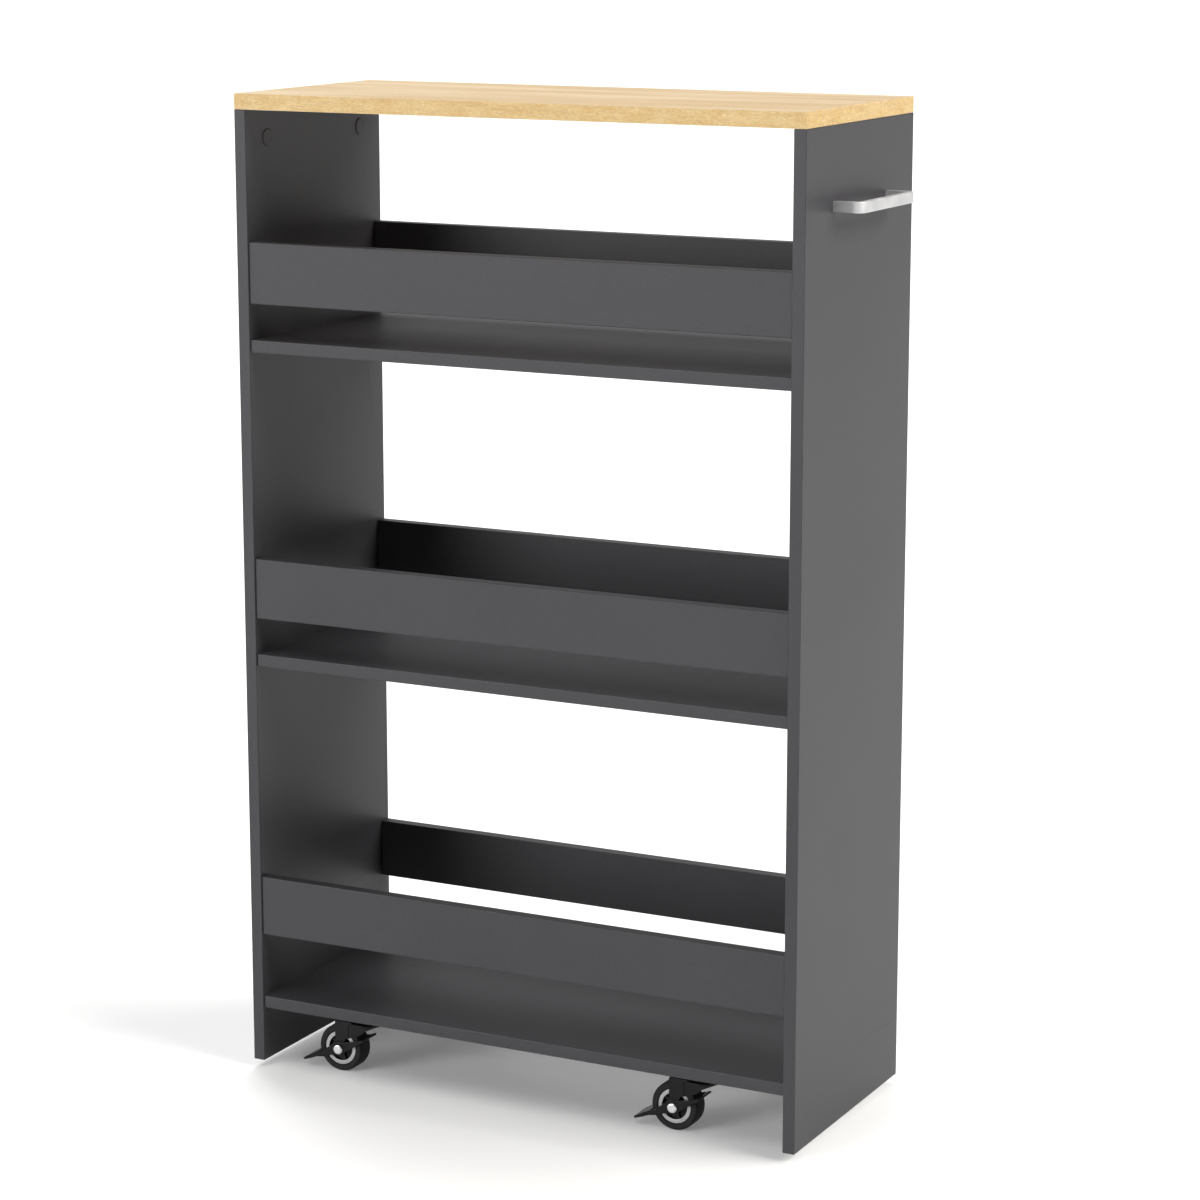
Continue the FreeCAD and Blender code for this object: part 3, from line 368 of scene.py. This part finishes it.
def moulded_plastic(name, colour, deep, rough_low, rough_high, metallic, specular):
    """Injection-moulded plastic with a spark-eroded texture and slight flow marks."""
    finish = Finish(name, rough_low, metallic, specular)
    texture = finish.noise(1300, detail=2)
    flow = finish.noise(35, detail=3, distortion=1.2)
    tone = finish.shade(finish.mottle(flow, deep, colour), finish.vary(texture, 0.95, 1.05, reach=0.3))
    return finish.set(tone, finish.vary(flow, rough_low, rough_high), finish.bump(texture, 0.02 * MM, 0.4))


def tyre_rubber():
    """Black polyurethane: dull, with a bloom of dust where it rolls."""
    finish = Finish("tyre_rubber", roughness=0.7, specular=0.2)
    pores = finish.noise(1100, detail=3, roughness=0.6)
    patch = finish.noise(80, detail=4)
    dust = finish.span(finish.noise(170, detail=5, roughness=0.75), 0.5, 0.8)
    colour = finish.mottle(patch, TYRE_DEEP, TYRE)
    colour = finish.stain(colour, TYRE_DUST, dust, 0.05)
    rough = finish.add_share(finish.vary(patch, 0.58, 0.72), dust, 0.15)
    return finish.set(colour, rough, finish.bump(pores, 0.04 * MM, 0.5))


# ---------------------------------------------------------------------------
# Finishes on the CAD nodes
# ---------------------------------------------------------------------------

BOARD_ENDINGS = ("side_panel", "shelf", "rail")

FINISH_BY_ENDING = {
    "cam_bolts": "zinc_steel",
    "cam_locks": "zinc_alloy",
    "wooden_dowels": "beech",
    "cam_cover_caps": "grey_plastic",
    "pull_handle": "satin_nickel",
    "handle_screws": "zinc_steel",
    "caster_plate": "black_steel",
    "swivel_race": "black_steel",
    "fork": "black_steel",
    "brake_lever": "black_steel",
    "axle": "polished_steel",
    "kingpins": "polished_steel",
    "bearing_balls": "polished_steel",
    "wheel_hub": "black_plastic",
    "rim_rings": "silver_plastic",
    "tyre": "tyre_rubber",
    "caster_screws": "black_zinc",
}

WELD_REACH = 0.001 * MM
ARRIS_BY_ENDING = {
    "fork": 0.15 * MM,
    "brake_lever": 0.3 * MM,
    "caster_plate": 0.25 * MM,
    "rim_rings": 0.2 * MM,
    "wheel_hub": 0.2 * MM,
}
ARRIS_SEGMENTS = 2
ARRIS_ANGLE_DEG = 40


def make_shared_finishes():
    """The finishes that several nodes share, by name."""
    metals = {name: metal(name, *values) for name, values in METALS.items()}
    plastics = {name: moulded_plastic(name, *values) for name, values in PLASTICS.items()}
    others = {
        "beech": beech(),
        "satin_nickel": satin_nickel(),
        "black_steel": black_steel(),
        "tyre_rubber": tyre_rubber(),
    }
    return metals | plastics | others


def finish_for(node, shared):
    """The material for a CAD node, by what the node is."""
    low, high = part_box(node)
    if node == "top_board":
        return oak_laminate(node, low, high)
    if node.endswith(BOARD_ENDINGS):
        return charcoal_melamine(node, low, high)
    for ending, name in FINISH_BY_ENDING.items():
        if node.endswith(ending):
            return shared[name]
    raise RuntimeError(f"no finish for {node}")


def paint(node, material):
    mesh = NODES[node].data
    mesh.materials.clear()
    mesh.materials.append(material)


def close_seams(node):
    """Joins the CAD faces' shared edges, which leaves the node's own mesh as it is."""
    weld = NODES[node].modifiers.new("weld", "WELD")
    weld.merge_threshold = WELD_REACH


def soften(node, width):
    """Rounds the sharp arrises of a CAD node whose seams are closed."""
    arris = NODES[node].modifiers.new("arris", "BEVEL")
    arris.width = width
    arris.segments = ARRIS_SEGMENTS
    arris.limit_method = "ANGLE"
    arris.angle_limit = math.radians(ARRIS_ANGLE_DEG)
    arris.use_clamp_overlap = False


def finish_nodes():
    """Paints every CAD node, closes its seams, and rounds the pressed and moulded ones' arrises."""
    shared = make_shared_finishes()
    for node in sorted(NODES):
        paint(node, finish_for(node, shared))
        close_seams(node)
        for ending, width in ARRIS_BY_ENDING.items():
            if node.endswith(ending):
                soften(node, width)


# ---------------------------------------------------------------------------
# Floor, light and camera
# ---------------------------------------------------------------------------

FLOOR_REACH = 30.0
FLOOR_TONE = (0.86, 0.86, 0.86)
FLOOR_GLOW = 0.155
GLOW_COLOUR = (1.0, 1.0, 1.0, 1.0)

WHITE = (1.0, 1.0, 1.0)
WARM = (1.0, 0.98, 0.94)
SUN_SPREAD_DEG = 30

# Each soft light: its colour, strength, elevation and azimuth. Azimuth 0 shines from the
# front, and 90 from the handle side.
SUNS = {
    "right_side": (WARM, 2.25, 36, 90),
    "right_rear": (WARM, 1.50, 36, 120),
    "front_left": (WHITE, 2.25, 10, -30),
    "left_rear": (WHITE, 1.60, 10, -122),
    "rear_top": (WHITE, 1.30, 60, -150),
    "front_top": (WHITE, 0.70, 60, 0),
}

# The dome's own light, and what the camera and glossy faces see on top of it.
DOME_LIGHT = 0.03
DOME_SEEN = 1.1
DOME_MIRRORED = 0.4

CAMERA_PLACE = (1.460, -2.841, 1.143)
CAMERA_YAW_DEG = 26.95
CAMERA_PITCH_DEG = 11.81
CAMERA_LENS = 103.2


def link(thing):
    bpy.context.scene.collection.objects.link(thing)


def make_floor():
    """A wide pale floor that the wheels stand on."""
    signs = ((-1, -1), (1, -1), (1, 1), (-1, 1))
    corners = [(x * FLOOR_REACH, y * FLOOR_REACH, 0) for x, y in signs]
    mesh = bpy.data.meshes.new("floor")
    mesh.from_pydata(corners, [], [(0, 1, 2, 3)])
    floor = bpy.data.objects.new("floor", mesh)
    link(floor)
    finish = Finish("floor", roughness=0.6, specular=0.2)
    tone = finish.noise(1.5, detail=3)
    grain = finish.noise(300, detail=2)
    colour = finish.shade(FLOOR_TONE, finish.vary(tone, 0.99, 1.01))
    relief = finish.bump(grain, 0.02 * MM, 0.2)
    mesh.materials.append(finish.set(colour, finish.vary(tone, 0.55, 0.65), relief))
    finish.shader.inputs["Emission Color"].default_value = GLOW_COLOUR
    finish.shader.inputs["Emission Strength"].default_value = FLOOR_GLOW


def add_sun(name, colour, strength, elevation_deg, azimuth_deg):
    """A far soft light."""
    light = bpy.data.lights.new(name, "SUN")
    light.color = colour
    light.energy = strength
    light.angle = math.radians(SUN_SPREAD_DEG)
    sun = bpy.data.objects.new(name, light)
    sun.rotation_euler = (math.radians(90 - elevation_deg), 0, math.radians(azimuth_deg))
    link(sun)


def make_world():
    """A dome that lights little, shows white to the camera, and is bright where gloss mirrors it."""
    world = bpy.data.worlds.new("studio")
    world.use_nodes = True
    tree = world.node_tree
    dome = tree.nodes["Background"]
    feed(tree, dome.inputs["Color"], GLOW_COLOUR)
    path = tree.nodes.new("ShaderNodeLightPath")
    strength = DOME_LIGHT
    for ray, extra in (("Is Camera Ray", DOME_SEEN), ("Is Glossy Ray", DOME_MIRRORED)):
        step = tree.nodes.new("ShaderNodeMath")
        step.operation = "MULTIPLY_ADD"
        for socket, value in zip(step.inputs, (path.outputs[ray], extra, strength)):
            feed(tree, socket, value)
        strength = step.outputs[0]
    feed(tree, dome.inputs["Strength"], strength)
    bpy.context.scene.world = world


def make_camera():
    camera = bpy.data.objects.new("camera", bpy.data.cameras.new("camera"))
    camera.location = CAMERA_PLACE
    camera.rotation_euler = (math.radians(90 - CAMERA_PITCH_DEG), 0, math.radians(CAMERA_YAW_DEG))
    camera.data.lens = CAMERA_LENS
    link(camera)
    bpy.context.scene.camera = camera


finish_nodes()
make_floor()
make_world()
for sun_name, setting in SUNS.items():
    add_sun(sun_name, *setting)
make_camera()
bpy.context.scene.view_settings.view_transform = "Standard"
